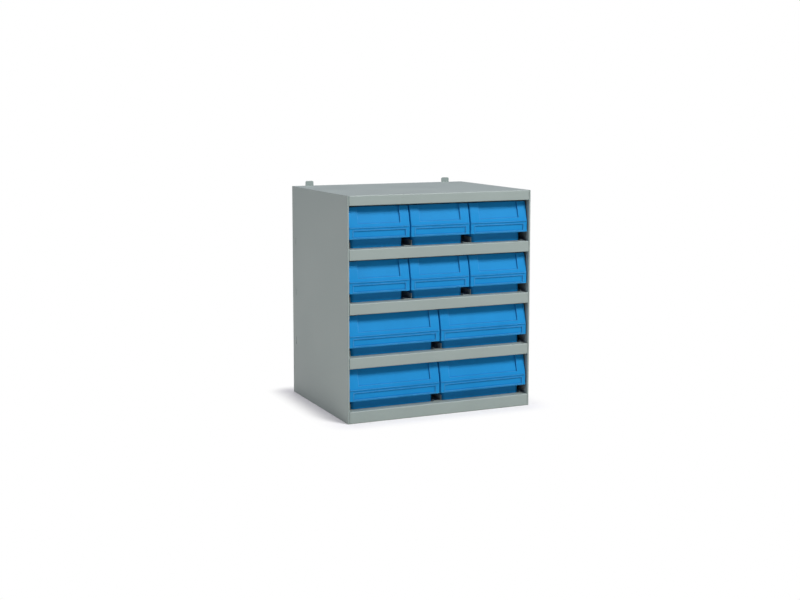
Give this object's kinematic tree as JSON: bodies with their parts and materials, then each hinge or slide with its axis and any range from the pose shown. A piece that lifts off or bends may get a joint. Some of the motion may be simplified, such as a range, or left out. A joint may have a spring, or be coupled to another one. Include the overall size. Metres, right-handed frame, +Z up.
{
  "type": "parts bin cabinet",
  "caption": "Open-fronted sheet steel cabinet with rows of pull-out plastic bins, each with a hooded front that fingers reach behind and a label field.",
  "frame": {"origin": "middle of the floor under the cabinet's overall box", "axes": "+X to the right seen from the open front, -Y out of the open front, +Z up"},
  "size_m": [0.406, 0.322, 0.46],
  "materials": {
    "painted_steel": "semi-gloss powder coat, mid grey",
    "blue_plastic": "moulded polypropylene, satin, mid blue",
    "rivets": "bare blind rivets, which the scene adds to the back panel and the lugs"
  },
  "bodies": {
    "cabinet": {"left_side": "painted_steel", "right_side": "painted_steel", "top_panel": "painted_steel", "lower_shelf": "painted_steel", "middle_shelf": "painted_steel", "upper_shelf": "painted_steel", "base_panel": "painted_steel", "back_panel": "painted_steel", "left_lug": "painted_steel", "right_lug": "painted_steel", "bottom_row_left_guide": "painted_steel", "bottom_row_guide_1": "painted_steel", "bottom_row_right_guide": "painted_steel", "lower_row_left_guide": "painted_steel", "lower_row_guide_1": "painted_steel", "lower_row_right_guide": "painted_steel", "middle_row_left_guide": "painted_steel", "middle_row_guide_1": "painted_steel", "middle_row_guide_2": "painted_steel", "middle_row_right_guide": "painted_steel", "top_row_left_guide": "painted_steel", "top_row_guide_1": "painted_steel", "top_row_guide_2": "painted_steel", "top_row_right_guide": "painted_steel"},
    "bottom_row_bin_1": {"bottom_row_bin_1": "blue_plastic"},
    "bottom_row_bin_2": {"bottom_row_bin_2": "blue_plastic"},
    "lower_row_bin_1": {"lower_row_bin_1": "blue_plastic"},
    "lower_row_bin_2": {"lower_row_bin_2": "blue_plastic"},
    "middle_row_bin_1": {"middle_row_bin_1": "blue_plastic"},
    "middle_row_bin_2": {"middle_row_bin_2": "blue_plastic"},
    "middle_row_bin_3": {"middle_row_bin_3": "blue_plastic"},
    "top_row_bin_1": {"top_row_bin_1": "blue_plastic"},
    "top_row_bin_2": {"top_row_bin_2": "blue_plastic"},
    "top_row_bin_3": {"top_row_bin_3": "blue_plastic"}
  },
  "joints": [
    {"name": "bottom_row_bin_1_slide", "type": "slide", "parent": "cabinet", "child": "bottom_row_bin_1", "axis": [0, -1, 0], "range_m": [0, 0.25]},
    {"name": "bottom_row_bin_2_slide", "type": "slide", "parent": "cabinet", "child": "bottom_row_bin_2", "axis": [0, -1, 0], "range_m": [0, 0.25]},
    {"name": "lower_row_bin_1_slide", "type": "slide", "parent": "cabinet", "child": "lower_row_bin_1", "axis": [0, -1, 0], "range_m": [0, 0.25]},
    {"name": "lower_row_bin_2_slide", "type": "slide", "parent": "cabinet", "child": "lower_row_bin_2", "axis": [0, -1, 0], "range_m": [0, 0.25]},
    {"name": "middle_row_bin_1_slide", "type": "slide", "parent": "cabinet", "child": "middle_row_bin_1", "axis": [0, -1, 0], "range_m": [0, 0.25]},
    {"name": "middle_row_bin_2_slide", "type": "slide", "parent": "cabinet", "child": "middle_row_bin_2", "axis": [0, -1, 0], "range_m": [0, 0.25]},
    {"name": "middle_row_bin_3_slide", "type": "slide", "parent": "cabinet", "child": "middle_row_bin_3", "axis": [0, -1, 0], "range_m": [0, 0.25]},
    {"name": "top_row_bin_1_slide", "type": "slide", "parent": "cabinet", "child": "top_row_bin_1", "axis": [0, -1, 0], "range_m": [0, 0.25]},
    {"name": "top_row_bin_2_slide", "type": "slide", "parent": "cabinet", "child": "top_row_bin_2", "axis": [0, -1, 0], "range_m": [0, 0.25]},
    {"name": "top_row_bin_3_slide", "type": "slide", "parent": "cabinet", "child": "top_row_bin_3", "axis": [0, -1, 0], "range_m": [0, 0.25]}
  ]
}
